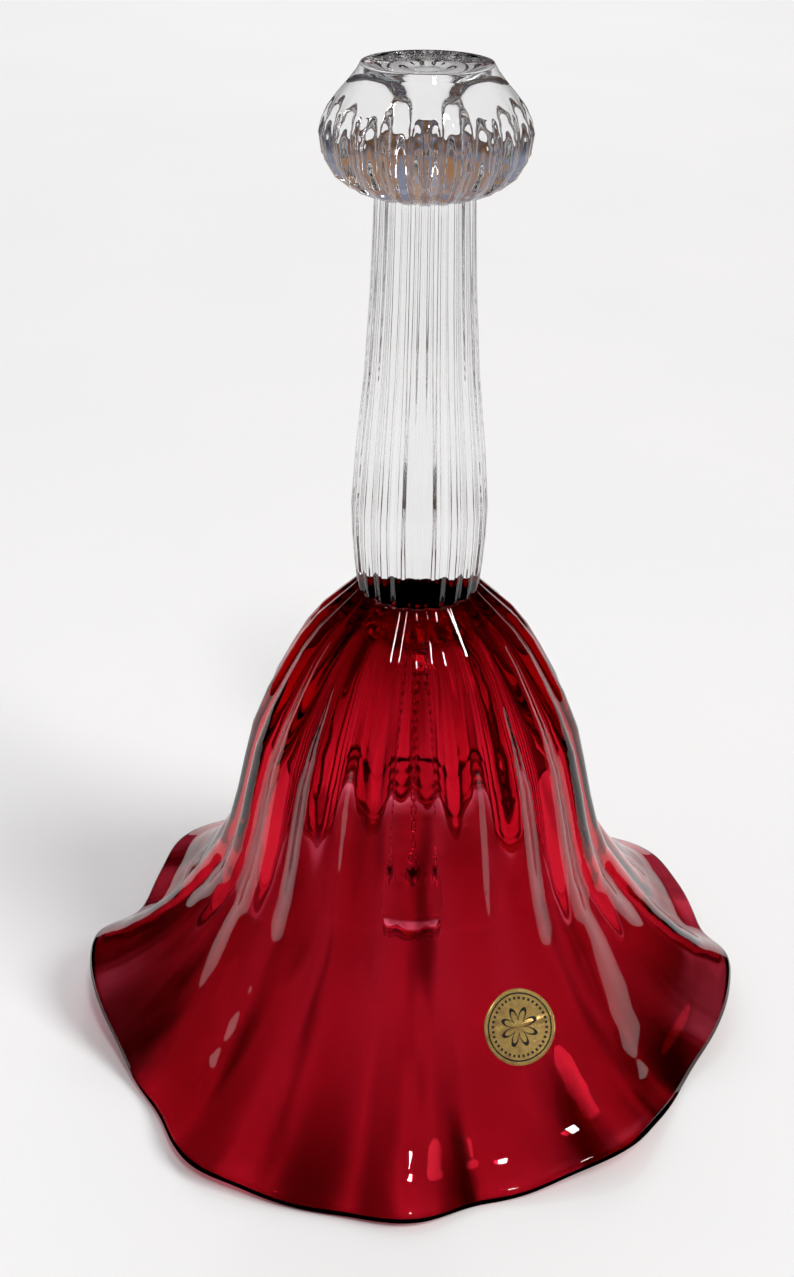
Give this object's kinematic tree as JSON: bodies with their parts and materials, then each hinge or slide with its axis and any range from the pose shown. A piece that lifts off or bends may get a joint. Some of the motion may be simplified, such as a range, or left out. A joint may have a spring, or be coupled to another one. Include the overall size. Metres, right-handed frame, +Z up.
{
  "type": "glass bell",
  "caption": "Hand-blown ruby glass table bell with a ruffled rim, a clear fluted handle, a fine silver chain and a clear glass clapper.",
  "frame": {"origin": "on the bell's axis, on the plane that the rim stands on", "axes": "+Z up along the handle, -Y towards the side with the foil label's left edge, +X to the right"},
  "size_m": [0.1199, 0.1257, 0.17],
  "materials": {
    "ruby_glass": "deep ruby glass, fire-polished",
    "clear_glass": "clear glass, fire-polished",
    "silver_wire": "bright silver-plated wire",
    "gold_foil": "embossed gold foil"
  },
  "bodies": {
    "bell": {"bell_body": "ruby_glass", "handle_stem": "clear_glass", "handle_knob": "clear_glass", "crown_eye": "silver_wire", "foil_label": "gold_foil"},
    "top_ring": {"top_jump_ring": "silver_wire"},
    "link_01": {"chain_link_01": "silver_wire"},
    "link_02": {"chain_link_02": "silver_wire"},
    "link_03": {"chain_link_03": "silver_wire"},
    "link_04": {"chain_link_04": "silver_wire"},
    "link_05": {"chain_link_05": "silver_wire"},
    "link_06": {"chain_link_06": "silver_wire"},
    "link_07": {"chain_link_07": "silver_wire"},
    "link_08": {"chain_link_08": "silver_wire"},
    "link_09": {"chain_link_09": "silver_wire"},
    "link_10": {"chain_link_10": "silver_wire"},
    "link_11": {"chain_link_11": "silver_wire"},
    "link_12": {"chain_link_12": "silver_wire"},
    "link_13": {"chain_link_13": "silver_wire"},
    "link_14": {"chain_link_14": "silver_wire"},
    "link_15": {"chain_link_15": "silver_wire"},
    "link_16": {"chain_link_16": "silver_wire"},
    "link_17": {"chain_link_17": "silver_wire"},
    "link_18": {"chain_link_18": "silver_wire"},
    "link_19": {"chain_link_19": "silver_wire"},
    "link_20": {"chain_link_20": "silver_wire"},
    "link_21": {"chain_link_21": "silver_wire"},
    "link_22": {"chain_link_22": "silver_wire"},
    "link_23": {"chain_link_23": "silver_wire"},
    "bottom_ring": {"bottom_jump_ring": "silver_wire"},
    "clapper": {"clapper_eye": "silver_wire", "clapper_drop": "clear_glass"}
  },
  "joints": [
    {"name": "top_ring_swing", "type": "hinge", "parent": "bell", "child": "top_ring", "pos_m": [0, 0, 0.0743], "axis": [1, 0, 0], "range_deg": [-29, 29]},
    {"name": "link_01_swing", "type": "hinge", "parent": "top_ring", "child": "link_01", "pos_m": [0, 0, 0.0724], "axis": [0, 1, 0], "range_deg": [-30, 30]},
    {"name": "link_02_swing", "type": "hinge", "parent": "link_01", "child": "link_02", "pos_m": [0, 0, 0.07065], "axis": [-1, 0, 0], "range_deg": [-31, 31]},
    {"name": "link_03_swing", "type": "hinge", "parent": "link_02", "child": "link_03", "pos_m": [0, 0, 0.06885], "axis": [0, -1, 0], "range_deg": [-32, 32]},
    {"name": "link_04_swing", "type": "hinge", "parent": "link_03", "child": "link_04", "pos_m": [0, 0, 0.06705], "axis": [1, 0, 0], "range_deg": [-33, 33]},
    {"name": "link_05_swing", "type": "hinge", "parent": "link_04", "child": "link_05", "pos_m": [0, 0, 0.06525], "axis": [0, 1, 0], "range_deg": [-35, 35]},
    {"name": "link_06_swing", "type": "hinge", "parent": "link_05", "child": "link_06", "pos_m": [0, 0, 0.06345], "axis": [-1, 0, 0], "range_deg": [-36, 36]},
    {"name": "link_07_swing", "type": "hinge", "parent": "link_06", "child": "link_07", "pos_m": [0, 0, 0.06165], "axis": [0, -1, 0], "range_deg": [-37, 37]},
    {"name": "link_08_swing", "type": "hinge", "parent": "link_07", "child": "link_08", "pos_m": [0, 0, 0.05985], "axis": [1, 0, 0], "range_deg": [-39, 39]},
    {"name": "link_09_swing", "type": "hinge", "parent": "link_08", "child": "link_09", "pos_m": [0, 0, 0.05805], "axis": [0, 1, 0], "range_deg": [-41, 41]},
    {"name": "link_10_swing", "type": "hinge", "parent": "link_09", "child": "link_10", "pos_m": [0, 0, 0.05625], "axis": [-1, 0, 0], "range_deg": [-43, 43]},
    {"name": "link_11_swing", "type": "hinge", "parent": "link_10", "child": "link_11", "pos_m": [0, 0, 0.05445], "axis": [0, -1, 0], "range_deg": [-45, 45]},
    {"name": "link_12_swing", "type": "hinge", "parent": "link_11", "child": "link_12", "pos_m": [0, 0, 0.05265], "axis": [1, 0, 0], "range_deg": [-45, 45]},
    {"name": "link_13_swing", "type": "hinge", "parent": "link_12", "child": "link_13", "pos_m": [0, 0, 0.05085], "axis": [0, 1, 0], "range_deg": [-45, 45]},
    {"name": "link_14_swing", "type": "hinge", "parent": "link_13", "child": "link_14", "pos_m": [0, 0, 0.04905], "axis": [-1, 0, 0], "range_deg": [-45, 45]},
    {"name": "link_15_swing", "type": "hinge", "parent": "link_14", "child": "link_15", "pos_m": [0, 0, 0.04725], "axis": [0, -1, 0], "range_deg": [-45, 45]},
    {"name": "link_16_swing", "type": "hinge", "parent": "link_15", "child": "link_16", "pos_m": [0, 0, 0.04545], "axis": [1, 0, 0], "range_deg": [-45, 45]},
    {"name": "link_17_swing", "type": "hinge", "parent": "link_16", "child": "link_17", "pos_m": [0, 0, 0.04365], "axis": [0, 1, 0], "range_deg": [-45, 45]},
    {"name": "link_18_swing", "type": "hinge", "parent": "link_17", "child": "link_18", "pos_m": [0, 0, 0.04185], "axis": [-1, 0, 0], "range_deg": [-45, 45]},
    {"name": "link_19_swing", "type": "hinge", "parent": "link_18", "child": "link_19", "pos_m": [0, 0, 0.04005], "axis": [0, -1, 0], "range_deg": [-45, 45]},
    {"name": "link_20_swing", "type": "hinge", "parent": "link_19", "child": "link_20", "pos_m": [0, 0, 0.03825], "axis": [1, 0, 0], "range_deg": [-45, 45]},
    {"name": "link_21_swing", "type": "hinge", "parent": "link_20", "child": "link_21", "pos_m": [0, 0, 0.03645], "axis": [0, 1, 0], "range_deg": [-45, 45]},
    {"name": "link_22_swing", "type": "hinge", "parent": "link_21", "child": "link_22", "pos_m": [0, 0, 0.03465], "axis": [-1, 0, 0], "range_deg": [-45, 45]},
    {"name": "link_23_swing", "type": "hinge", "parent": "link_22", "child": "link_23", "pos_m": [0, 0, 0.03285], "axis": [0, -1, 0], "range_deg": [-45, 45]},
    {"name": "bottom_ring_swing", "type": "hinge", "parent": "link_23", "child": "bottom_ring", "pos_m": [0, 0, 0.03105], "axis": [1, 0, 0], "range_deg": [-45, 45]},
    {"name": "clapper_swing", "type": "hinge", "parent": "bottom_ring", "child": "clapper", "pos_m": [0, 0, 0.02895], "axis": [0, 1, 0], "range_deg": [-45, 45]}
  ]
}
